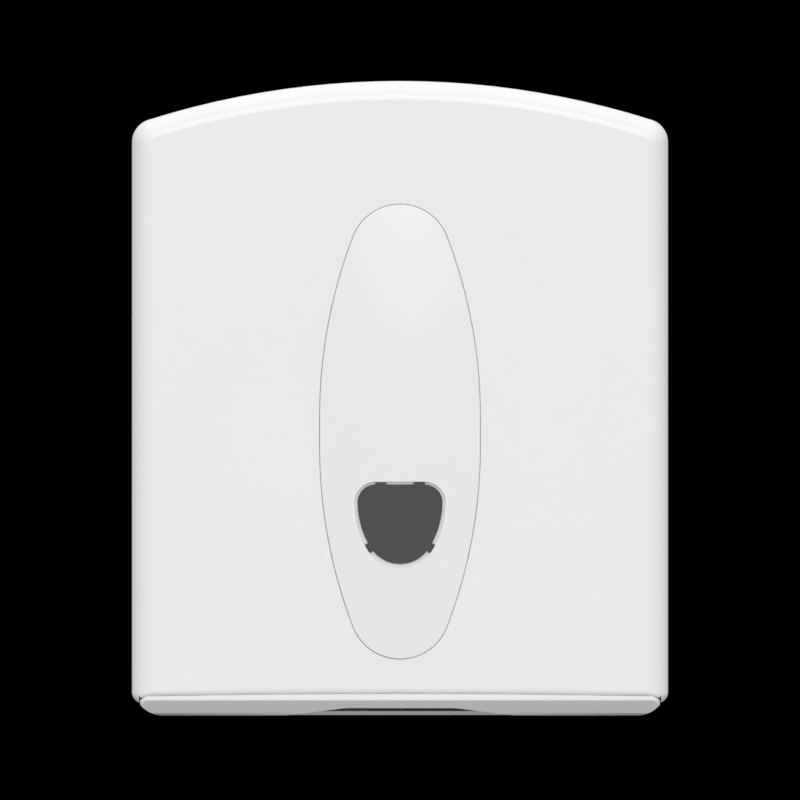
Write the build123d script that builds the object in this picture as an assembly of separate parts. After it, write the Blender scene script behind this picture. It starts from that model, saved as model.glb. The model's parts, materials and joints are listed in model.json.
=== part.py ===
"""Wall dispenser for folded paper towels: a back plate and a bottom tray screwed together,
a deep cover that swings down on two hinge pins, and a key lock in the top of the cover.

Millimetres. +X is right and +Z is up, seen from the front. The wall is the plane Y = 0 and the
front faces -Y. The origin is the centre of the four wall screws, on the wall. The functions
below measure heights from the tray's front underside and distances outwards from the wall.
"""
from build123d import *
from math import atan, degrees, hypot, sqrt
import os

# Closed cover, overall
width = 275.0
height = 325.5
depth = 130.0
arch_radius = 428.0

# Cover shell
cover_wall = 2.5
front_edge_radius = 10.0
shoulder_flat_radius = 2.0
foot_radius = 5.75
foot_height = 6.25
foot_return = 3.7
lower_edge_height = 10.65
lower_edge_arch_radius = 6600.0
lower_edge_arch_pieces = 8
lower_edge_corner_radius = 3.6
lower_edge_radius = 3.8
lower_edge_rounding_height = 3.4
cover_wall_gap = 2.0

# Oval insert panel in the front of the cover
panel_length = 233.7
panel_width = 82.9
panel_side_straight = 15.4
panel_end_radius = 26.1
panel_bottom_height = 28.75
panel_pocket_depth = 2.0
panel_pocket_floor = 2.2
panel_pocket_margin = 2.0
panel_fit_gap = 0.3
panel_edge_step = 0.2
panel_crown = 1.8
panel_edge_radius = 0.6
clip_length = 8.0
clip_thickness = 1.6
clip_hook = 0.8
clip_hook_length = 1.6
clip_inset = 8.0
clip_spacing = 120.0

# Shield-shaped sight window in the insert panel, and the sunk rim round it
window_top_height = 118.5
window_width = 43.4
window_length = 40.6
window_corner_radius = 9.15
window_foot_radius = 17.6
window_edge_radius = 0.3
window_setback = 0.15
window_floor = 1.2
window_seat = 2.0
window_fit_gap = 0.12
window_rim_top = 1.35
window_rim_side = 1.7
window_rim_bottom = 2.5
window_rim_depth = 1.7
window_rim_bevel = 0.3
window_tab_width = 4.7
window_tab_angle = 59.0
window_top_tab_width = 5.5
window_top_tab_offset = 9.85

# Back plate
plate_thickness = 3.0
plate_flange = 2.5
plate_lock_gap = 2.5
plate_top_gap = 1.0
plate_bottom_height = 6.5
wall_hole_radius = 2.75
wall_hole_side_margin = 37.5
wall_hole_top_margin = 60.5
wall_hole_bottom_margin = 65.0
wall_boss_radius = 9.0
wall_boss_height = 1.5
rib_spacing = 62.0
rib_thickness = 2.0
rib_height = 3.0
rib_margin = 45.0

# Bottom tray
tray_gap = 0.5
tray_setback = 0.5
tray_wall = 2.0
tray_wall_height = 30.0
tray_lip_base_height = 7.85
tray_front_slope = 9.0
tray_side_radius = 15.0
tray_side_curve_height = 5.6
tray_rear_drop = 0.95
tray_rear_taper = 12.0
tray_base_radius = 5.7
tray_corner_radius = 4.5
tray_lip_base_radius = 1.2
tray_lip_top_radius = 0.1
mouth_width = 190.0
mouth_rear = 45.0
mouth_front = 107.0
mouth_corner_radius = 20.0
notch_top_width = 56.0
notch_base_width = 132.0
notch_height = 3.85
notch_radius = 40.0

# Hinge of the cover on the tray
hinge_setback = 8.2
hinge_rise = 9.0
hinge_clearance = 1.0
hinge_groove_gap = 0.5
lug_thickness = 4.5
lug_arm_length = 23.0
lug_foot_length = 10.0
pin_radius = 2.5
pin_head_radius = 4.0
pin_head_thickness = 1.8
pin_end_wall = 1.5
pin_end_gap = 0.3
running_gap = 0.05
side_gap = 0.3

# Towel guides
guide_inset = 7.5
guide_sheet = 2.0
guide_depth = 85.0
guide_flange = 16.0
guide_bottom_height = 40.0
guide_top_margin = 37.0
guide_corner_radius = 12.0
guide_window_width = 40.0
guide_window_length = 88.0
guide_window_radius = 8.0
guide_window_gap = 22.0

# Lock in the top of the cover
lock_setback = 32.0
lock_recess_radius = 11.0
lock_recess_depth = 3.0
lock_recess_wall = 2.5
housing_flange_radius = 9.0
housing_flange_thickness = 2.0
housing_radius = 6.5
housing_length = 22.0
housing_hole_gap = 0.1
barrel_radius = 4.5
barrel_head_radius = 5.6
barrel_head_thickness = 1.0
barrel_gap = 0.3
key_slot_width = 1.4
key_slot_length = 6.2
key_slot_depth = 9.0
washer_radius = 10.0
washer_thickness = 1.0
nut_across_flats = 17.0
nut_thickness = 3.0
cam_reach = 22.0
cam_width = 10.0
cam_thickness = 2.0
cam_hub_radius = 6.5
spigot_side = 5.0
cam_screw_radius = 1.5
cam_screw_length = 8.0
cam_screw_head_radius = 4.2
cam_screw_head_height = 1.8

# Strike for the cam
strike_sheet = 2.0
strike_gap = 2.0
strike_tip_gap = 0.6
strike_overlap = 12.0
strike_height = 14.0
strike_base_width = 28.0
strike_base_height = 26.0
strike_screw_spacing = 16.0

# Pan head screws of the tray, the guides and the strike
screw_radius = 1.9
screw_head_radius = 3.7
screw_head_height = 2.3
screw_tip_gap = 0.3
screw_cross_length = 4.0
screw_cross_width = 0.9
screw_cross_depth = 1.3
tray_screw_spacing = 88.0
tray_screw_height = 18.0

# Derived sizes
half_width = width / 2
shoulder_radius = front_edge_radius + shoulder_flat_radius
foot_inner = half_width - foot_return
tray_half_width = foot_inner - tray_gap
tray_front = depth - tray_setback
panel_centre_height = panel_bottom_height + panel_length / 2
pocket_floor = depth - panel_pocket_depth
wall_hole_spacing_x = width - 2 * wall_hole_side_margin
wall_hole_spacing_z = height - wall_hole_top_margin - wall_hole_bottom_margin
origin_height = wall_hole_bottom_margin + wall_hole_spacing_z / 2
hinge_distance = depth - hinge_setback
hinge_height = lower_edge_height + hinge_rise
lower_edge_rounding_depth = lower_edge_radius - sqrt(lower_edge_radius ** 2
                                                     - lower_edge_rounding_height ** 2)
groove_radius = hypot(hinge_setback - lower_edge_rounding_depth, hinge_rise) + hinge_groove_gap
corner_relief_radius = groove_radius + lower_edge_corner_radius
plate_flange_depth = lock_setback - lock_recess_radius - lock_recess_wall - plate_lock_gap
lug_radius = hinge_setback - cover_wall - hinge_clearance
corner_inner_radius = front_edge_radius - cover_wall
lug_outer = (half_width - front_edge_radius
             + sqrt(corner_inner_radius ** 2 - (corner_inner_radius - hinge_clearance + side_gap) ** 2))
lug_inner = lug_outer - lug_thickness
pin_hole_end = half_width - pin_end_wall
guide_outer = half_width - cover_wall - guide_inset
guide_top_height = height - guide_top_margin
recess_floor_height = height - lock_recess_depth
recess_underside_height = recess_floor_height - lock_recess_wall
housing_end_height = recess_floor_height - housing_length
cam_top_height = housing_end_height - barrel_gap
cam_height = cam_top_height - cam_thickness / 2
strike_arm = cam_reach + strike_tip_gap

LOW = (Align.CENTER, Align.CENTER, Align.MIN)
HIGH = (Align.CENTER, Align.CENTER, Align.MAX)


def prism(outline, near, far):
    """Solid of a front-view outline between two distances from the wall."""
    return extrude(Plane.XZ.offset(near) * outline, amount=far - near)


def slab(left, right, near, far, low, high):
    """Rectangular block between sides, distances from the wall and heights."""
    block = Box(right - left, far - near, high - low)
    return Pos((left + right) / 2, -(near + far) / 2, (low + high) / 2) * block


def mirrored(piece):
    """The same piece on the left-hand side."""
    return mirror(piece, about=Plane.YZ)


def arched_outline(half, low, top, crest_radius, corner_radius):
    """Straight sides under a shallow arch, with rounded shoulders."""
    spring = top - crest_radius + sqrt(crest_radius ** 2 - half ** 2)
    frame = Polyline((half, spring), (half, low), (-half, low), (-half, spring))
    face = make_face(frame + ThreePointArc((-half, spring), (0, top), (half, spring)))
    return fillet(face.vertices().sort_by(Axis.Y)[-2:], corner_radius)


def pan_screw(length):
    """Pan head screw along Z, with the seat of its head at Z = 0 and its shank below."""
    head = Cylinder(screw_head_radius, screw_head_height, align=LOW)
    head = fillet(head.edges().sort_by(Axis.Z)[-1], screw_head_height * 0.6)
    shank = Cylinder(screw_radius, length, align=HIGH)
    shank = chamfer(shank.edges().sort_by(Axis.Z)[0], screw_radius * 0.4)
    slot = Box(screw_cross_length, screw_cross_width, screw_cross_depth, align=HIGH)
    cross = slot + Rot(0, 0, 90) * slot
    return head + shank - Pos(0, 0, screw_head_height) * cross


def wall_side_screw(x, seat, z):
    """Screw driven towards the wall, its head seated at a distance from the wall."""
    return Pos(x, -seat, z) * Rot(90, 0, 0) * pan_screw(seat - screw_tip_gap)


def wall_side_hole(x, z, far):
    """Hole from the wall outwards, the size of a screw's shank."""
    return Pos(x, 0, z) * Rot(90, 0, 0) * Cylinder(screw_radius, far, align=LOW)


def places(xs, zs):
    """Every pair of a sideways place and a height."""
    return [(x, z) for x in xs for z in zs]


def tray_screw_places():
    return places([-tray_screw_spacing, 0, tray_screw_spacing], [tray_screw_height])


def guide_screw_places(side):
    x = side * (guide_outer - guide_flange / 2 - guide_sheet / 2)
    middle = (guide_bottom_height + guide_top_height) / 2
    reach = (guide_top_height - guide_bottom_height) / 2 - 2 * guide_corner_radius
    return places([x], [middle - reach, middle, middle + reach])


def strike_screw_places():
    x = strike_arm + (strike_base_width + strike_sheet) / 2
    return places([x], [cam_height - strike_screw_spacing / 2, cam_height + strike_screw_spacing / 2])


def back_plate():
    """Flat plate with a flange round the sides and top, ribs and bosses for the wall screws."""
    top = height - cover_wall - plate_top_gap
    crest = arch_radius - cover_wall - plate_top_gap
    corner = shoulder_radius - cover_wall - plate_top_gap
    outline = arched_outline(tray_half_width, plate_bottom_height, top, crest, corner)
    inner = arched_outline(tray_half_width - plate_flange, plate_bottom_height - plate_flange,
                           top - plate_flange, crest - plate_flange, corner - plate_flange)
    flange_start = tray_wall_height + side_gap
    rim = prism(outline - inner, 0, plate_flange_depth)
    rim -= slab(-width, width, plate_thickness, depth, 0, flange_start)
    plate = prism(outline, 0, plate_thickness) + rim

    rib_top = height - rib_margin - wall_hole_top_margin / 2
    for x in (-rib_spacing, 0, rib_spacing):
        plate += slab(x - rib_thickness / 2, x + rib_thickness / 2,
                      plate_thickness - 1, plate_thickness + rib_height, rib_margin, rib_top)

    half_x = wall_hole_spacing_x / 2
    for x, z in places([-half_x, half_x], [wall_hole_bottom_margin, height - wall_hole_top_margin]):
        boss = Cylinder(wall_boss_radius, plate_thickness + wall_boss_height, align=LOW)
        hole = Cylinder(wall_hole_radius, depth)
        plate = plate + Pos(x, 0, z) * Rot(90, 0, 0) * boss - Pos(x, 0, z) * Rot(90, 0, 0) * hole

    screw_places = tray_screw_places() + strike_screw_places()
    screw_places += guide_screw_places(-1) + guide_screw_places(1)
    for x, z in screw_places:
        plate -= wall_side_hole(x, z, plate_thickness + 1)
    return plate


def tray_block(inset):
    """Tray outline as a solid block: sloped under the lip, curved in along both sides, and
    falling slightly towards the wall."""
    front = tray_front
    side_profile = make_face(Polyline(
        (-plate_thickness, -tray_rear_drop), (-(front - tray_front_slope), 0),
        (-front, tray_lip_base_height), (-front, height), (-plate_thickness, height), close=True))
    base_corner = [vertex for vertex in side_profile.vertices() if abs(vertex.Y) < 0.01]
    side_profile = fillet(base_corner, tray_base_radius)
    half = tray_half_width
    curve_height = tray_side_curve_height
    base_half = half - sqrt(tray_side_radius ** 2 - (tray_side_radius - curve_height) ** 2)
    rear_half = base_half - tray_rear_taper
    frame = Polyline((half, curve_height), (half, height), (-half, height), (-half, curve_height))
    frame += Polyline((base_half, 0), (rear_half, -tray_rear_drop), (-rear_half, -tray_rear_drop),
                      (-base_half, 0))
    for side in (-1, 1):
        frame += TangentArc((side * base_half, 0), (side * half, curve_height), tangent=(side, 0))
    front_profile = make_face(frame)
    if inset:
        side_profile = offset(side_profile, amount=-inset, kind=Kind.INTERSECTION)
        front_profile = offset(front_profile, amount=-inset, kind=Kind.INTERSECTION)
    along = extrude(Plane.YZ * side_profile, amount=width, both=True)
    return along & prism(front_profile, 0, depth)


def upright_front_edges(block, distance):
    """Upright edges of a block at a distance from the wall."""
    return block.edges().filter_by(Axis.Z).filter_by(lambda edge: edge.center().Y < 1 - distance)


def front_edge_below(block, z):
    """The highest edge along the tray's front that lies below a height."""
    along = block.edges().filter_by(lambda edge: edge.center().Y < 0.1 - tray_front)
    return along.filter_by(lambda edge: edge.center().Z < z).sort_by(Axis.Z)[-1]


def arch_drop(x):
    """How far the arch of the cover's lower edge has dropped at a sideways place."""
    return lower_edge_arch_radius - sqrt(lower_edge_arch_radius ** 2 - x ** 2)


def bowed_sweep(profile):
    """Run a side-view profile across the whole width in straight pieces, along the arch of the
    cover's lower edge. The profile is as it stands in the middle."""
    length = 1.1 * width / lower_edge_arch_pieces
    swept = Part()
    for piece in range(lower_edge_arch_pieces):
        start = (piece - lower_edge_arch_pieces / 2) * length
        fall = arch_drop(start + length) - arch_drop(start)
        placed = Pos(start, 0, -arch_drop(start)) * profile
        swept += extrude(placed, amount=hypot(length, fall), dir=(length, 0, -fall))
    return swept


def hinge_groove():
    """Round groove under the lower edge of the cover, which clears it as the cover swings."""
    centre = Plane.YZ * Pos(-hinge_distance, hinge_height) * Circle(groove_radius)
    return bowed_sweep(centre)


def lip_top_rounding():
    """Sliver that rounds the top of the tray's lip, between its front and the hinge groove."""
    r = tray_lip_top_radius
    centre_y = tray_front - r
    across = (centre_y - hinge_distance) / (groove_radius + r)
    drop = sqrt(1 - across ** 2)
    centre_z = hinge_height - drop * (groove_radius + r)
    start = (-tray_front, centre_z)
    end = (r * across - centre_y, centre_z + r * drop)
    turn = hypot(1 - across, drop)
    middle = (-centre_y - r * (1 - across) / turn, centre_z + r * drop / turn)
    profile = make_face(ThreePointArc(start, middle, end) + Polyline(
        end, (end[0], hinge_height), (-depth, hinge_height), (-depth, centre_z), start))
    return bowed_sweep(Plane.YZ * profile)


def hinge_cylinder(radius, left, right):
    """Cylinder along the hinge axis between two sideways places."""
    bar = Rot(0, 90, 0) * Cylinder(radius, right - left)
    return Pos((left + right) / 2, -hinge_distance, hinge_height) * bar


def corner_relief():
    """Room in the tray's right side wall for the corner of the open cover, behind the hinge."""
    inner = tray_half_width - 2 * tray_wall
    room = hinge_cylinder(corner_relief_radius, inner, half_width)
    return room & slab(inner, half_width, 0, hinge_distance, 0, height)


def hinge_lug():
    """Right-hand lug of the tray: an eye at the hinge and an arm back to the side wall."""
    eye = hinge_cylinder(lug_radius, lug_inner, lug_outer)
    low = hinge_height - lug_radius
    high = hinge_height + lug_radius
    arm_end = hinge_distance - lug_arm_length
    arm = slab(lug_inner, lug_outer, arm_end, hinge_distance, low, high)
    foot = slab(lug_inner, tray_half_width - tray_wall / 2, arm_end, arm_end + lug_foot_length, low, high)
    return eye + arm + foot - hinge_cylinder(pin_radius, 0, width)


def dispensing_tray():
    """Shallow tray with a sloped lip, the towel mouth, a finger notch and two hinge lugs."""
    block = tray_block(0)
    block = fillet(upright_front_edges(block, tray_front), tray_corner_radius)
    block = fillet(front_edge_below(block, tray_lip_base_height + 1), tray_lip_base_radius)
    hollow = tray_block(tray_wall)
    hollow = fillet(upright_front_edges(hollow, tray_front - tray_wall), tray_corner_radius - tray_wall)
    tray = block - hollow
    tray -= slab(-width, width, 0, depth + 1, tray_wall_height, 2 * height)
    tray -= hinge_groove()
    tray -= slab(-width, width, hinge_distance - groove_radius, depth + 1, hinge_height, 2 * height)
    tray -= lip_top_rounding()
    tray = tray - corner_relief() - mirrored(corner_relief())

    mouth = Pos(0, -(mouth_rear + mouth_front) / 2) * RectangleRounded(
        mouth_width, mouth_front - mouth_rear, mouth_corner_radius)
    tray -= extrude(mouth, amount=tray_wall * 2, both=True)

    notch = make_face(Polyline(
        (-notch_base_width / 2, -1), (-notch_top_width / 2, notch_height),
        (notch_top_width / 2, notch_height), (notch_base_width / 2, -1), close=True))
    notch = fillet(notch.vertices().sort_by(Axis.Y)[-2:], notch_radius)
    tray -= prism(notch, (mouth_rear + mouth_front) / 2, depth + 1)

    tray = tray + hinge_lug() + mirrored(hinge_lug())
    for x, z in tray_screw_places():
        tray -= wall_side_hole(x, z, 2 * plate_thickness + tray_wall)
    return tray


def cover_block(inset, near, far):
    """Cover outline as a solid block with rounded front edges and rounded feet."""
    outline = arched_outline(half_width - inset, foot_height + inset, height - inset,
                             arch_radius - inset, shoulder_radius - inset)
    block = prism(outline, near, far)
    front = block.faces().sort_by(Axis.Y)[0]
    rim = front.edges().filter_by(lambda edge: edge.center().Z > foot_height + inset + 1)
    block = fillet(rim, front_edge_radius - inset)
    base = block.faces().filter_by(Axis.Z).sort_by(Axis.Z)[0]
    feet = base.edges().filter_by(lambda edge: edge.center().Y < -near - 1)
    return fillet(feet, foot_radius - inset)


def lower_edge_rounding():
    """What is cut to round the front of the cover's lower edge, along its shallow arch."""
    high = lower_edge_height + lower_edge_rounding_height
    low = high - lower_edge_radius
    arc = TangentArc((-depth, high), (-depth + lower_edge_radius, low), tangent=(0, -1))
    profile = make_face(arc + Polyline((-depth + lower_edge_radius, low), (-depth + lower_edge_radius, 0),
                                       (-depth - 1, 0), (-depth - 1, high), (-depth, high)))
    between_feet = slab(-foot_inner, foot_inner, 0, 2 * depth, 0, 2 * lower_edge_height)
    return bowed_sweep(Plane.YZ * profile) & between_feet


def panel_outline(inset):
    """Long oval: short straight sides run through shallow arcs into small round ends."""
    half = panel_width / 2 - inset
    side_end = panel_side_straight / 2
    end_radius = panel_end_radius - inset
    rise = panel_length / 2 - panel_end_radius - side_end
    side_radius = (rise ** 2 + half ** 2 - end_radius ** 2) / (2 * (half - end_radius))
    reach = side_radius / (side_radius - end_radius)
    joint_x = (half - side_radius) * (1 - reach)
    joint_z = side_end + rise * reach
    tip = side_end + rise + end_radius
    edges = Curve()
    for side in (-1, 1):
        edges += Line((side * half, -side_end), (side * half, side_end))
        edges += ThreePointArc((joint_x, side * joint_z), (0, side * tip), (-joint_x, side * joint_z))
        for end in (-1, 1):
            edges += TangentArc((side * half, end * side_end), (side * joint_x, end * joint_z),
                                tangent=(0, end))
    return Pos(0, panel_centre_height) * make_face(edges)


def crown_block(lift):
    """Block behind a surface that is gently domed both ways, as proud as lift adds."""
    front = depth + panel_edge_step + panel_crown
    rise_radius = ((panel_length / 2) ** 2 + panel_crown ** 2) / (2 * panel_crown)
    across_radius = ((panel_width / 2) ** 2 + panel_crown ** 2) / (2 * panel_crown)
    half = panel_length / 2 + panel_end_radius
    drop = rise_radius - sqrt(rise_radius ** 2 - half ** 2)
    crest = front + lift
    back = pocket_floor - panel_pocket_floor
    profile = make_face(
        ThreePointArc((-crest + drop, -half), (-crest, 0), (-crest + drop, half))
        + Polyline((-crest + drop, half), (-back, half), (-back, -half), (-crest + drop, -half)))
    pivot = Axis((0, -front + across_radius, 0), (0, 0, 1))
    turn = degrees(panel_width / across_radius)
    wedge = revolve(Plane.YZ * profile, pivot, turn)
    swing = Pos(0, -front + across_radius, 0) * Rot(0, 0, -turn / 2) * Pos(0, front - across_radius, 0)
    return Pos(0, 0, panel_centre_height) * swing * wedge


def shield_outline(half, top, bottom, corner_radius, foot_radius):
    """Shield with a flat top and round corners, whose bowed sides run into a round foot."""
    widest = top - corner_radius
    drop = widest - bottom - foot_radius
    side_radius = (drop ** 2 + half ** 2 - foot_radius ** 2) / (2 * (half - foot_radius))
    reach = side_radius / (side_radius - foot_radius)
    joint_x = (half - side_radius) * (1 - reach)
    joint_z = widest - drop * reach
    edges = Line((corner_radius - half, top), (half - corner_radius, top))
    edges += ThreePointArc((joint_x, joint_z), (0, bottom), (-joint_x, joint_z))
    for side in (-1, 1):
        edges += TangentArc((side * (half - corner_radius), top), (side * half, widest),
                            tangent=(side, 0))
        edges += TangentArc((side * half, widest), (side * joint_x, joint_z), tangent=(0, -1))
    return make_face(edges)


def window_outline(inset):
    """Outline of the window without its tabs."""
    return shield_outline(window_width / 2 - inset, window_top_height - inset,
                          window_top_height - window_length + inset,
                          window_corner_radius - inset, window_foot_radius - inset)


def rim_outline(inset):
    """Outline of the sunk rim round the window, a little wider below than above."""
    return shield_outline(window_width / 2 + window_rim_side - inset,
                          window_top_height + window_rim_top - inset,
                          window_top_height - window_length - window_rim_bottom + inset,
                          window_corner_radius + window_rim_side - inset,
                          window_foot_radius + window_rim_side - inset)


def lens_outline(gap):
    """Window lens seen from the front: the window with four tabs across the sunk rim."""
    lens = window_outline(0)
    foot_centre = window_top_height - window_length + window_foot_radius
    tabs = Sketch()
    for side in (-1, 1):
        tabs += Pos(0, foot_centre) * Rot(0, 0, side * window_tab_angle) \
            * Pos(0, -window_foot_radius) * Rectangle(window_tab_width, 4 * window_rim_bottom)
        tabs += Pos(side * window_top_tab_offset, window_top_height) \
            * Rectangle(window_top_tab_width, 4 * window_rim_bottom)
    lens += tabs & rim_outline(window_rim_bevel)
    return offset(lens, amount=gap) if gap else lens


def sunk_rim():
    """What is cut from the panel's face round the window, with sloped walls."""
    front = depth + panel_edge_step + panel_crown / 2
    slope = window_rim_bevel / window_rim_depth
    reach = front - pocket_floor
    floor = Plane.XZ.offset(pocket_floor) * rim_outline(slope * reach)
    bowl = extrude(floor, amount=2 * reach, taper=-degrees(atan(slope)))
    return bowl - crown_block(-window_rim_depth)


def clip_places():
    """Places of the panel's four clips, and the side that each clip hooks to."""
    x = panel_width / 2 - clip_inset
    return [(side, side * x, panel_centre_height + rise)
            for side in (-1, 1) for rise in (-clip_spacing / 2, clip_spacing / 2)]


def insert_panel():
    """Domed oval panel with a sunk rim, a seat for the window and four clips."""
    oval = prism(panel_outline(panel_fit_gap), pocket_floor, 2 * depth)
    panel = oval & crown_block(0)
    crown = panel.faces().sort_by(Axis.Y)[0]
    panel = fillet(crown.edges(), panel_edge_radius)
    panel -= sunk_rim()
    panel -= prism(lens_outline(window_fit_gap), pocket_floor + window_floor, 2 * depth)
    panel -= prism(window_outline(window_seat), 0, 2 * depth)

    hook_start = pocket_floor - panel_pocket_floor
    for side, x, z in clip_places():
        stem_far = x + side * clip_thickness / 2
        hook_far = stem_far + side * clip_hook
        near_side = x - side * clip_thickness / 2
        panel += slab(min(near_side, stem_far), max(near_side, stem_far),
                      hook_start - side_gap - clip_hook_length, pocket_floor + 0.5,
                      z - clip_length / 2, z + clip_length / 2)
        panel += slab(min(near_side, hook_far), max(near_side, hook_far),
                      hook_start - side_gap - clip_hook_length, hook_start - side_gap,
                      z - clip_length / 2, z + clip_length / 2)
    return panel


def sight_window():
    """Smoked lens, set just below the panel's face and domed like it, with a softened edge."""
    lens = prism(lens_outline(0), pocket_floor + window_floor, 2 * depth)
    lens = lens & crown_block(-window_setback)
    face = lens.faces().sort_by(Axis.Y)[0]
    return fillet(face.edges(), window_edge_radius)


def front_cover():
    """Deep shell, open behind and below, with the panel's pocket, hinge ears and lock seat."""
    shell = cover_block(0, cover_wall_gap, depth)
    cavity = cover_block(cover_wall, -depth, depth - cover_wall)
    throat = slab(-foot_inner, foot_inner, -depth, depth - cover_wall,
                  0, foot_height + cover_wall + foot_radius)
    shell = shell - cavity - throat
    shell -= prism(arched_outline(foot_inner, 0, lower_edge_height,
                                  lower_edge_arch_radius, lower_edge_corner_radius),
                   -depth, 2 * depth)
    shell -= lower_edge_rounding()

    pad = panel_outline(-panel_pocket_margin)
    shell += prism(pad, pocket_floor - panel_pocket_floor, depth - cover_wall + 0.5)
    shell -= prism(panel_outline(0), pocket_floor, 2 * depth)
    shell -= prism(window_outline(0), 0, 2 * depth)
    for side, x, z in clip_places():
        outer = x + side * (clip_thickness / 2 + clip_hook + side_gap)
        inner = x - side * (clip_thickness / 2 + side_gap)
        shell -= slab(min(inner, outer), max(inner, outer), depth / 2, pocket_floor + 1,
                      z - clip_length / 2 - side_gap, z + clip_length / 2 + side_gap)

    ear = hinge_cylinder(lug_radius, lug_outer + side_gap, half_width - cover_wall / 2)
    ear &= cover_block(cover_wall / 2, cover_wall_gap, depth)
    for part in (ear, mirrored(ear)):
        shell += part
    hole = hinge_cylinder(pin_radius + running_gap, lug_inner, pin_hole_end)
    for part in (hole, mirrored(hole)):
        shell -= part

    seat_radius = lock_recess_radius + lock_recess_wall
    boss = Cylinder(seat_radius, height - cover_wall / 2 - recess_underside_height, align=LOW)
    shell += Pos(0, -lock_setback, recess_underside_height) * boss
    shell -= Pos(0, -lock_setback, recess_floor_height) * Cylinder(lock_recess_radius, height, align=LOW)
    shell -= Pos(0, -lock_setback, recess_floor_height) * Cylinder(
        housing_radius + housing_hole_gap, 4 * lock_recess_wall)
    return shell


def hinge_pin():
    """Right-hand pin: its head inside the lug and its end in the cover's ear."""
    shank = hinge_cylinder(pin_radius, lug_inner, pin_hole_end - pin_end_gap)
    shank = chamfer(shank.edges().sort_by(Axis.X)[-1], pin_radius * 0.2)
    head = hinge_cylinder(pin_head_radius, lug_inner - pin_head_thickness, lug_inner)
    head = fillet(head.edges().sort_by(Axis.X)[0], pin_head_thickness * 0.5)
    return shank + head


def towel_guide():
    """Right-hand guide: a side plate with two windows and a flange on the back plate."""
    near = plate_thickness
    far = near + guide_depth
    low = guide_bottom_height
    high = guide_top_height
    sheet = slab(guide_outer - guide_sheet, guide_outer, near, far, low, high)
    front_edges = sheet.edges().filter_by(Axis.X).sort_by(Axis.Y)[:2]
    sheet = fillet(front_edges, guide_corner_radius)
    window = RectangleRounded(guide_window_width, guide_window_length, guide_window_radius)
    middle = (low + high) / 2
    rise = (guide_window_length + guide_window_gap) / 2
    for z in (middle - rise, middle + rise):
        cut = extrude(Plane.YZ * Pos(-(near + far) / 2, z) * window, amount=width)
        sheet -= cut
    flange = slab(guide_outer - guide_sheet - guide_flange, guide_outer - guide_sheet / 2,
                  near, near + guide_sheet, low, high)
    edges = flange.edges().filter_by(Axis.Y).sort_by(Axis.X)[:2]
    guide = sheet + fillet(edges, guide_corner_radius / 3)
    for x, z in guide_screw_places(1):
        guide -= wall_side_hole(x, z, near + guide_sheet + 1)
    return guide


def on_lock_axis(piece, z):
    """Place a piece on the axis of the lock at a height."""
    return Pos(0, -lock_setback, z) * piece


def lock_housing():
    """Flanged tube through the seat in the cover, bored for the barrel."""
    flange = Cylinder(housing_flange_radius, housing_flange_thickness, align=LOW)
    flange = fillet(flange.edges().sort_by(Axis.Z)[-1], housing_flange_thickness * 0.3)
    body = flange + Cylinder(housing_radius, housing_length, align=HIGH)
    body -= Cylinder(barrel_radius + running_gap, 4 * housing_length)
    head_seat = housing_flange_thickness - barrel_head_thickness - barrel_gap
    body -= Pos(0, 0, head_seat) * Cylinder(
        barrel_head_radius + barrel_gap, housing_flange_thickness, align=LOW)
    return on_lock_axis(body, recess_floor_height)


def lock_washer():
    """Washer under the seat in the cover."""
    ring = Cylinder(washer_radius, washer_thickness, align=HIGH) - Cylinder(
        housing_radius + housing_hole_gap, 4 * washer_thickness)
    return on_lock_axis(ring, recess_underside_height)


def lock_nut():
    """Hexagonal nut that clamps the housing into the cover."""
    hexagon = RegularPolygon(nut_across_flats / 2, 6, major_radius=False)
    nut = extrude(hexagon, amount=-nut_thickness) - Cylinder(housing_radius, 4 * nut_thickness)
    return on_lock_axis(nut, recess_underside_height - washer_thickness)


def lock_barrel():
    """Turning barrel with a key slot above and a square spigot for the cam below."""
    top = recess_floor_height + housing_flange_thickness
    barrel = Cylinder(barrel_radius, top - cam_top_height, align=HIGH)
    head = Cylinder(barrel_head_radius, barrel_head_thickness, align=HIGH)
    barrel += chamfer(head.edges().sort_by(Axis.Z)[-1], barrel_head_thickness * 0.3)
    barrel -= Box(key_slot_width, key_slot_length, 2 * key_slot_depth)
    barrel += Pos(0, 0, cam_top_height - top) * Box(spigot_side, spigot_side, cam_thickness, align=HIGH)
    barrel -= Pos(0, 0, cam_top_height - cam_thickness - top) * Cylinder(
        cam_screw_radius, cam_screw_length, align=LOW)
    return on_lock_axis(barrel, top)


def lock_cam():
    """Flat cam that points back at the wall when the lock is open."""
    arm = Pos(0, cam_reach / 2) * Rectangle(cam_width, cam_reach) & Circle(cam_reach)
    cam = extrude(arm + Circle(cam_hub_radius), amount=-cam_thickness)
    cam -= Box(spigot_side, spigot_side, 4 * cam_thickness)
    return on_lock_axis(cam, cam_top_height)


def lock_cam_screw():
    """Screw that holds the cam on the spigot, its head below the cam."""
    head = Cylinder(cam_screw_head_radius, cam_screw_head_height, align=HIGH)
    head = fillet(head.edges().sort_by(Axis.Z)[0], cam_screw_head_height * 0.5)
    slot = Box(screw_cross_length, screw_cross_width, screw_cross_depth, align=LOW)
    cross = Pos(0, 0, -cam_screw_head_height) * (slot + Rot(0, 0, 90) * slot)
    screw = head + Cylinder(cam_screw_radius, cam_screw_length, align=LOW) - cross
    return on_lock_axis(screw, cam_top_height - cam_thickness)


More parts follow.
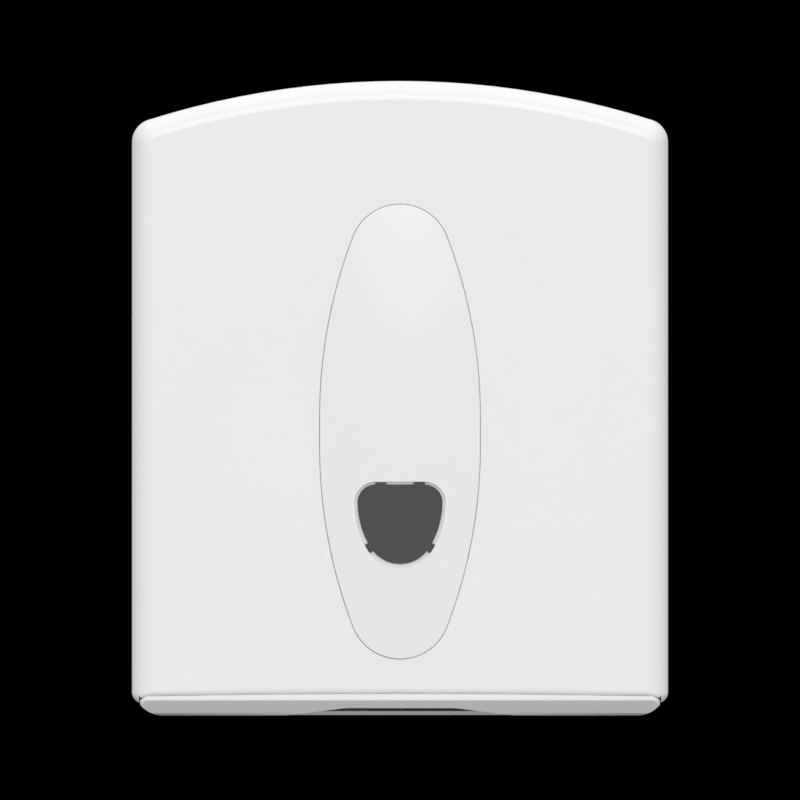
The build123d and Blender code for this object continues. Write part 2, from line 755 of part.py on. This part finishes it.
def strike_plate():
    """Folded bracket on the back plate; its lip stands in front of the turned cam."""
    lip_near = lock_setback + cam_width / 2 + strike_gap
    lip_far = lip_near + strike_sheet
    low = cam_height - strike_height / 2
    high = cam_height + strike_height / 2
    arm_outer = strike_arm + strike_sheet
    base = slab(strike_arm, strike_arm + strike_base_width, plate_thickness,
                plate_thickness + strike_sheet,
                cam_height - strike_base_height / 2, cam_height + strike_base_height / 2)
    arm = slab(strike_arm, arm_outer, plate_thickness, lip_far, low, high)
    lip = slab(cam_reach - strike_overlap, arm_outer, lip_near, lip_far, low, high)
    strike = base + arm + lip
    for x, z in strike_screw_places():
        strike -= wall_side_hole(x, z, plate_thickness + strike_sheet + 1)
    return strike


def screw_group(screw_places, seat):
    """Identical screws as one group."""
    return Compound([wall_side_screw(x, seat, z).solid() for x, z in screw_places])


def pieces():
    """Every piece by name, in the order of assembly."""
    guide_seat = plate_thickness + guide_sheet
    guide_places = guide_screw_places(-1) + guide_screw_places(1)
    return {
        "back_plate": back_plate(),
        "dispensing_tray": dispensing_tray(),
        "tray_screws": screw_group(tray_screw_places(), plate_thickness + tray_wall),
        "towel_guide_right": towel_guide(),
        "towel_guide_left": mirrored(towel_guide()),
        "guide_screws": screw_group(guide_places, guide_seat),
        "strike_plate": strike_plate(),
        "strike_screws": screw_group(strike_screw_places(), plate_thickness + strike_sheet),
        "hinge_pin_right": hinge_pin(),
        "hinge_pin_left": mirrored(hinge_pin()),
        "front_cover": front_cover(),
        "insert_panel": insert_panel(),
        "sight_window": sight_window(),
        "lock_housing": lock_housing(),
        "lock_washer": lock_washer(),
        "lock_nut": lock_nut(),
        "lock_barrel": lock_barrel(),
        "lock_cam": lock_cam(),
        "lock_cam_screw": lock_cam_screw(),
    }


os.makedirs("parts", exist_ok=True)
for name, piece in pieces().items():
    export_step(Pos(0, 0, -origin_height) * piece, f"parts/{name}.step")
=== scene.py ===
"""Looks, light and camera for the folded paper towel dispenser.

Metres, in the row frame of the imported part: +X right and +Z up seen from the front, and the wall
behind it at Y = 0. Each large moulding is a smooth copy of its CAD node, and the metal pieces are
the CAD nodes themselves.
"""

import json
from math import cos, radians, sin

import bmesh
import bpy
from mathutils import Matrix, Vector

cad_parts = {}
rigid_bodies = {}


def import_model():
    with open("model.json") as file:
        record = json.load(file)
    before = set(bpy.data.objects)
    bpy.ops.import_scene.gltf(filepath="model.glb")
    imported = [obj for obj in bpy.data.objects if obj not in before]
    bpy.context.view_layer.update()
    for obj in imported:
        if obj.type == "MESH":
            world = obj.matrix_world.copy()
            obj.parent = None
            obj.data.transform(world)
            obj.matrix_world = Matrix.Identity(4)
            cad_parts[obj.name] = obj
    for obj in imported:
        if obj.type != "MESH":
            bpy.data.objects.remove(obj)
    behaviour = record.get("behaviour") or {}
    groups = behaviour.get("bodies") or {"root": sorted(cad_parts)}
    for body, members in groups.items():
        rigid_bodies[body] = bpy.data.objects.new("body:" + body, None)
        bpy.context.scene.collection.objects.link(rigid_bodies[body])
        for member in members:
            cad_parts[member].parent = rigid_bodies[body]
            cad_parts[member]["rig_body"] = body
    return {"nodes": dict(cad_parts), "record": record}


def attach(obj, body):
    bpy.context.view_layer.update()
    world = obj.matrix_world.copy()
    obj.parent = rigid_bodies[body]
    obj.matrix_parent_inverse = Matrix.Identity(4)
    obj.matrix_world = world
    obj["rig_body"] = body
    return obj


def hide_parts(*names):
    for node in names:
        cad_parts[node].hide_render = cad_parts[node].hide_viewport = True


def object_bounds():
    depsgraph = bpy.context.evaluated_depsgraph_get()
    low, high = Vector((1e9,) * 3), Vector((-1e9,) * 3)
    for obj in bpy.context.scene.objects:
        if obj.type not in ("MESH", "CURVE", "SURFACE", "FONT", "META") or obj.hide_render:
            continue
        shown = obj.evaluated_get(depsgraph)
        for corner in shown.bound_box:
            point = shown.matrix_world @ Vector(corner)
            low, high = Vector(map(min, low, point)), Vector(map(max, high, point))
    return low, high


# Mouldings that get a smooth copy, with the names of their copies
MOULDINGS = {
    "front_cover": "cover_shell",
    "insert_panel": "oval_insert",
    "sight_window": "window_lens",
    "dispensing_tray": "bottom_tray",
    "back_plate": "wall_plate",
    "towel_guide_right": "side_guide_right",
    "towel_guide_left": "side_guide_left",
}

# Smooth copies: corners closer than the first are one corner, faces that meet at less than the
# second are one flat face, and an edge with more than the third between its faces is a sharp one
WELD_DISTANCE = 2e-6
FLAT_ANGLE = radians(0.1)
CREASE_ANGLE = radians(32)

# How much the larger faces count in the shading, up to 100
FACE_WEIGHT = 90

# Dome of the insert panel and its window: how far it rises over the panel's half length and half
# width, the fit gap round the panel, and how far a face of the dome may turn away from it
DOMED = ("insert_panel", "sight_window")
DOME_RISE = 0.0018
DOME_FIT_GAP = 0.0003
DOME_TURN = radians(4)

# Arched top of the cover, and how far a point of it may lie off the arc
ARCHED = "front_cover"
ARCH_RADIUS = 0.428
ARCH_SLACK = 1e-5

# Range that most noise values lie in, and the share by which a cool grey's blue is raised
NOISE_LOW = 0.3
NOISE_HIGH = 0.7
COOL = 0.02

# Camera: square on to the front and far away, as the photograph shows no perspective
PIXEL = 0.00051258
FRAME_PIXELS = 800
SENSOR = 36.0
CAMERA_DISTANCE = 14.0
CAMERA_HEIGHT = -0.00316

# Floor below the dispenser
FLOOR_RADIUS = 4.0
FLOOR_DROP = 0.34
FLOOR_SEGMENTS = 96

# Soft light that comes from all round: its level, how much it grows to the top and the front, and
# how much it falls to the sides
AMBIENT = 0.754
LEAN_UP = 0.555
LEAN_FRONT = 0.283
SIDE_LOSS = 0.3

# Large round lamp above the camera, by its place in the sky, and the level and radius of each of
# its two zones, whose edges fade over a small angle
LAMP_SIDE = radians(1.4)
LAMP_RISE = radians(19.0)
LAMP_RIM = (0.9, radians(17.1))
LAMP_CORE = (1.45, radians(15.2))
LAMP_EDGE = radians(0.6)

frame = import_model()
size_at_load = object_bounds()
slot_of = {part["node"]: part["material_slot"] for part in frame["record"]["subparts"]}


class Shader:
    """A material's node tree, with short ways to add and join nodes."""

    def __init__(self, name, viewport_colour):
        self.material = bpy.data.materials.new(name)
        self.material.use_nodes = True
        self.material.diffuse_color = (*viewport_colour, 1.0)
        self.tree = self.material.node_tree
        self.surface = self.tree.nodes["Principled BSDF"]
        self.place = self.tree.nodes.new("ShaderNodeTexCoord").outputs["Object"]

    def set(self, **values):
        """Values that are the same all over the surface."""
        for socket, value in values.items():
            self.surface.inputs[socket.replace("_", " ")].default_value = value

    def link(self, output, socket):
        """Feed a socket of the surface."""
        self.tree.links.new(output, self.surface.inputs[socket])

    def stretched(self, scale):
        """Object coordinates stretched by a scale for each axis."""
        node = self.tree.nodes.new("ShaderNodeMapping")
        node.inputs["Scale"].default_value = scale
        self.tree.links.new(self.place, node.inputs["Vector"])
        return node.outputs["Vector"]

    def noise(self, cell, detail=3.0, place=None):
        """Noise with cells of about this size in metres."""
        node = self.tree.nodes.new("ShaderNodeTexNoise")
        node.inputs["Scale"].default_value = 1.0 / cell
        node.inputs["Detail"].default_value = detail
        self.tree.links.new(place or self.place, node.inputs["Vector"])
        return node.outputs["Fac"]

    def between(self, noise, low, high):
        """A number that follows the noise, from low to high."""
        node = self.tree.nodes.new("ShaderNodeMapRange")
        node.inputs["From Min"].default_value = NOISE_LOW
        node.inputs["From Max"].default_value = NOISE_HIGH
        node.inputs["To Min"].default_value = low
        node.inputs["To Max"].default_value = high
        self.tree.links.new(noise, node.inputs["Value"])
        return node.outputs["Result"]

    def around(self, noise, middle, share):
        """A number that follows the noise, by this share of its middle value each way."""
        return self.between(noise, middle * (1 - share), middle * (1 + share))

    def blend(self, noise, first, second):
        """A colour that follows the noise, from the first to the second."""
        node = self.tree.nodes.new("ShaderNodeValToRGB")
        node.color_ramp.elements[0].position = NOISE_LOW
        node.color_ramp.elements[0].color = (*first, 1.0)
        node.color_ramp.elements[1].position = NOISE_HIGH
        node.color_ramp.elements[1].color = (*second, 1.0)
        self.tree.links.new(noise, node.inputs["Fac"])
        return node.outputs["Color"]

    def bump(self, height, depth, below=None):
        """Relief of this depth in metres, over another relief if one is given."""
        node = self.tree.nodes.new("ShaderNodeBump")
        node.inputs["Strength"].default_value = 1.0
        node.inputs["Distance"].default_value = depth
        self.tree.links.new(height, node.inputs["Height"])
        if below is not None:
            self.tree.links.new(below, node.inputs["Normal"])
        return node.outputs["Normal"]


def grey(level, blue=0.0):
    """A grey of this level, whose blue is raised by a share."""
    return (level, level, level * (1 + blue))


def scaled(colour, share):
    """A colour with this share of its brightness."""
    return tuple(channel * share for channel in colour)


def gloss_plastic(name, level, roughness):
    """White moulded plastic: a polished surface with faint flow and sink marks."""
    shader = Shader(name, grey(level))
    shader.set(IOR=1.5)
    flow = shader.noise(cell=0.06, detail=2.0)
    shader.link(shader.blend(flow, grey(level * 0.996), grey(level * 1.004)), "Base Color")
    skin = shader.noise(cell=0.004, detail=4.0)
    shader.link(shader.around(skin, roughness, share=0.15), "Roughness")
    sink = shader.bump(flow, depth=8e-6)
    ripple = shader.noise(cell=0.0016, detail=2.0)
    shader.link(shader.bump(ripple, depth=2.5e-7, below=sink), "Normal")
    return shader.material


def matt_plastic(name, level, roughness):
    """Grey moulded plastic with a fine spark-eroded grain."""
    tint = grey(level, COOL)
    shader = Shader(name, tint)
    shader.set(IOR=1.5)
    cloud = shader.noise(cell=0.03)
    shader.link(shader.blend(cloud, scaled(tint, 0.97), scaled(tint, 1.03)), "Base Color")
    grain = shader.noise(cell=0.0007, detail=5.0)
    shader.link(shader.around(grain, roughness, share=0.1), "Roughness")
    shader.link(shader.bump(grain, depth=2.5e-5), "Normal")
    return shader.material


def smoked_plastic(name):
    """Dark smoked polystyrene, polished, with the faintest clouding."""
    shader = Shader(name, grey(0.04))
    shader.set(IOR=1.55)
    cloud = shader.noise(cell=0.012)
    shader.link(shader.blend(cloud, grey(0.036, COOL), grey(0.040, COOL)), "Base Color")
    skin = shader.noise(cell=0.003, detail=4.0)
    shader.link(shader.between(skin, low=0.03, high=0.06), "Roughness")
    return shader.material


def brushed_metal(name, tint, roughness, depth, stretch=(1, 1, 1)):
    """Bare or plated steel with a fine grain, drawn out where an axis has a smaller stretch."""
    shader = Shader(name, tint)
    shader.set(Metallic=1.0)
    lines = shader.noise(cell=0.0006, detail=4.0, place=shader.stretched(stretch))
    patches = shader.noise(cell=0.005)
    shader.link(shader.blend(patches, scaled(tint, 0.86), tint), "Base Color")
    shader.link(shader.around(lines, roughness, share=0.25), "Roughness")
    shader.link(shader.bump(lines, depth), "Normal")
    return shader.material


def chrome(name):
    """Chrome plate with a very slight unevenness from the casting below it."""
    shader = Shader(name, grey(0.82, COOL))
    shader.set(Metallic=1.0)
    cloud = shader.noise(cell=0.004)
    shader.link(shader.blend(cloud, grey(0.78, COOL), grey(0.84, COOL)), "Base Color")
    shader.link(shader.between(shader.noise(cell=0.0015), low=0.06, high=0.13), "Roughness")
    shader.link(shader.bump(cloud, depth=4e-6), "Normal")
    return shader.material


def all_materials():
    """A material for each slot of the record."""
    return {
        "cover_plastic": gloss_plastic("cover_plastic", level=0.79, roughness=0.16),
        "panel_plastic": gloss_plastic("panel_plastic", level=0.79, roughness=0.05),
        "tray_plastic": gloss_plastic("tray_plastic", level=0.79, roughness=0.20),
        "smoked_plastic": smoked_plastic("smoked_plastic"),
        "back_plate_plastic": matt_plastic("back_plate_plastic", level=0.50, roughness=0.55),
        "guide_plastic": matt_plastic("guide_plastic", level=0.55, roughness=0.50),
        "screw_steel": brushed_metal("screw_steel", (0.62, 0.63, 0.65), roughness=0.30, depth=6e-6),
        "nut_steel": brushed_metal("nut_steel", (0.60, 0.59, 0.57), roughness=0.26, depth=5e-6),
        "pin_steel": brushed_metal(
            "pin_steel", (0.58, 0.58, 0.60), roughness=0.24, depth=5e-6, stretch=(8, 0.5, 0.5)),
        "strike_steel": brushed_metal(
            "strike_steel", (0.58, 0.60, 0.62), roughness=0.32, depth=8e-6, stretch=(0.4, 0.4, 8)),
        "lock_chrome": chrome("lock_chrome"),
    }


def dress(obj, material):
    """Give an object one material in place of those it came with."""
    obj.data.materials.clear()
    obj.data.materials.append(material)


def arc_radius(half_chord):
    """Radius of an arc that rises as the dome does over half of its chord."""
    return (half_chord ** 2 + DOME_RISE ** 2) / (2 * DOME_RISE)


def dome_normals():
    """A function for the normal of the insert panel's dome at a place."""
    places = [vertex.co for vertex in frame["nodes"]["insert_panel"].data.vertices]
    low, high = ([pick(place[axis] for place in places) for axis in range(3)] for pick in (min, max))
    across, _, rise = (arc_radius((high[axis] - low[axis]) / 2 + DOME_FIT_GAP) for axis in range(3))
    middle = (low[2] + high[2]) / 2

    def normal_at(place):
        up = (place.z - middle) / rise
        level = Vector((place.x, place.y - low[1] - across, 0)).normalized() * (1 - up ** 2) ** 0.5
        return level + Vector((0, 0, up))

    return normal_at


def dome_places(mesh, normal_at):
    """Indices of the vertices on the dome, told by how their faces stand."""
    return {index for face in mesh.polygons if face.normal.angle(normal_at(face.center)) < DOME_TURN
            for index in face.vertices}


def arch_spoke(place):
    """Line from the axis of the cover's arched top out to a place."""
    return Vector((place.x, 0, place.z - size_at_load[1].z + ARCH_RADIUS))


def arch_normal(place):
    """Normal of the cover's arched top at a place."""
    return arch_spoke(place).normalized()


def arch_places(mesh):
    """Indices of the vertices on the outside of the cover's arched top."""
    return {vertex.index for vertex in mesh.vertices
            if abs(arch_spoke(vertex.co).length - ARCH_RADIUS) < ARCH_SLACK}


def follow(mesh, normal_at, places):
    """Give a curved surface its own normals at these vertices, so that it reflects evenly."""
    normals = [Vector(corner.vector) for corner in mesh.corner_normals]
    for face in mesh.polygons:
        for corner, index in zip(face.loop_indices, face.vertices):
            if index in places:
                normal = normal_at(mesh.vertices[index].co)
                if face.normal.angle(normal) < CREASE_ANGLE:
                    normals[corner] = normal
    mesh.normals_split_custom_set(normals)


def weigh_normals(piece, kept=()):
    """Shade a piece by the size of its faces, apart from the vertices that keep their normals."""
    weighted = piece.modifiers.new("face weights", "WEIGHTED_NORMAL")
    weighted.keep_sharp = True
    weighted.weight = FACE_WEIGHT
    if kept:
        piece.vertex_groups.new(name="kept").add(list(kept), 1.0, "REPLACE")
        weighted.vertex_group = "kept"
        weighted.invert_vertex_group = True


def smooth_mesh(source, name):
    """A CAD node's mesh with its corners joined, its flat faces whole and its edges marked."""
    shape = bmesh.new()
    shape.from_mesh(source.data)
    bmesh.ops.remove_doubles(shape, verts=shape.verts, dist=WELD_DISTANCE)
    bmesh.ops.dissolve_limit(shape, angle_limit=FLAT_ANGLE, verts=shape.verts, edges=shape.edges)
    mesh = bpy.data.meshes.new(name)
    shape.to_mesh(mesh)
    shape.free()
    mesh.shade_smooth()
    mesh.set_sharp_from_angle(angle=CREASE_ANGLE)
    return mesh


def smooth_copy(node, name, material):
    """New piece with a CAD node's shape, whose curved faces join without seams."""
    source = frame["nodes"][node]
    mesh = smooth_mesh(source, name)
    piece = bpy.data.objects.new(name, mesh)
    bpy.context.scene.collection.objects.link(piece)
    dress(piece, material)
    if node in DOMED:
        normal_at = dome_normals()
        follow(mesh, normal_at, dome_places(mesh, normal_at))
    elif node == ARCHED:
        arch = arch_places(mesh)
        follow(mesh, arch_normal, arch)
        weigh_normals(piece, kept=arch)
    else:
        weigh_normals(piece)
    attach(piece, source["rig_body"])
    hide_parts(node)


def build_pieces():
    """Dress every CAD node, and replace the mouldings by smooth copies."""
    materials = all_materials()
    for node in sorted(frame["nodes"]):
        material = materials[slot_of[node]]
        if node in MOULDINGS:
            smooth_copy(node, MOULDINGS[node], material)
        else:
            dress(frame["nodes"][node], material)


def build_floor():
    """Round pale floor. It takes light but gives none back, so the underside stays in shade."""
    mesh = bpy.data.meshes.new("floor")
    disc = bmesh.new()
    bmesh.ops.create_circle(disc, cap_ends=True, radius=FLOOR_RADIUS, segments=FLOOR_SEGMENTS)
    disc.to_mesh(mesh)
    disc.free()
    floor = bpy.data.objects.new("floor", mesh)
    floor.location = (0, 0, size_at_load[0].z - FLOOR_DROP)
    bpy.context.scene.collection.objects.link(floor)
    shader = Shader("floor_paint", grey(0.67))
    shader.link(shader.blend(shader.noise(cell=0.5), grey(0.66), grey(0.68)), "Base Color")
    shader.set(Roughness=0.8)
    dress(floor, shader.material)
    floor.visible_diffuse = False
    floor.visible_glossy = False


def build_light():
    """Soft light from all round and a large round lamp in front; the camera sees black."""
    world = bpy.data.worlds.new("studio")
    bpy.context.scene.world = world
    world.use_nodes = True
    tree = world.node_tree

    def wire(source, target):
        """Feed a socket from another one, or with a plain value."""
        if isinstance(source, bpy.types.NodeSocket):
            tree.links.new(source, target)
        else:
            target.default_value = source

    def maths(operation, *terms):
        """Result of an operation on sockets and plain values."""
        node = tree.nodes.new("ShaderNodeMath")
        node.operation = operation
        for term, target in zip(terms, node.inputs):
            wire(term, target)
        return node.outputs[0]

    def along(axis):
        """How far the looked-at part of the sky lies along an axis, from -1 to 1."""
        node = tree.nodes.new("ShaderNodeVectorMath")
        node.operation = "DOT_PRODUCT"
        tree.links.new(sky, node.inputs[0])
        node.inputs[1].default_value = axis
        return node.outputs["Value"]

    sky = tree.nodes.new("ShaderNodeTexCoord").outputs["Generated"]
    side = along((1, 0, 0))
    lean = maths("ADD", along((0, -LEAN_FRONT, LEAN_UP)), AMBIENT)
    level = maths("MAXIMUM", maths("MULTIPLY_ADD", maths("MULTIPLY", side, side), -SIDE_LOSS, lean), 0.0)
    lamp_axis = (sin(LAMP_SIDE) * cos(LAMP_RISE), -cos(LAMP_SIDE) * cos(LAMP_RISE), sin(LAMP_RISE))
    for zone_level, radius in (LAMP_RIM, LAMP_CORE):
        disc = tree.nodes.new("ShaderNodeMapRange")
        disc.interpolation_type = "SMOOTHSTEP"
        wire(along(lamp_axis), disc.inputs["Value"])
        disc.inputs["From Min"].default_value = cos(radius + LAMP_EDGE / 2)
        disc.inputs["From Max"].default_value = cos(radius - LAMP_EDGE / 2)
        level = maths("MULTIPLY_ADD", disc.outputs["Result"], zone_level, level)
    unseen = maths("SUBTRACT", 1.0, tree.nodes.new("ShaderNodeLightPath").outputs["Is Camera Ray"])
    background = tree.nodes["Background"]
    background.inputs["Color"].default_value = (1.0, 1.0, 1.0, 1.0)
    wire(maths("MULTIPLY", level, unseen), background.inputs["Strength"])


def build_camera():
    """Camera square on to the front, whose frame is as wide as the photograph's."""
    front = size_at_load[0].y
    data = bpy.data.cameras.new("camera")
    data.sensor_width = SENSOR
    data.lens = SENSOR * (CAMERA_DISTANCE + front) / (FRAME_PIXELS * PIXEL)
    data.clip_start = CAMERA_DISTANCE / 2
    data.clip_end = 4 * CAMERA_DISTANCE
    camera = bpy.data.objects.new("camera", data)
    camera.location = (0, -CAMERA_DISTANCE, CAMERA_HEIGHT)
    camera.rotation_euler = (radians(90), 0, 0)
    bpy.context.scene.collection.objects.link(camera)
    bpy.context.scene.camera = camera
    bpy.context.scene.view_settings.view_transform = "Standard"


build_pieces()
build_floor()
build_light()
build_camera()
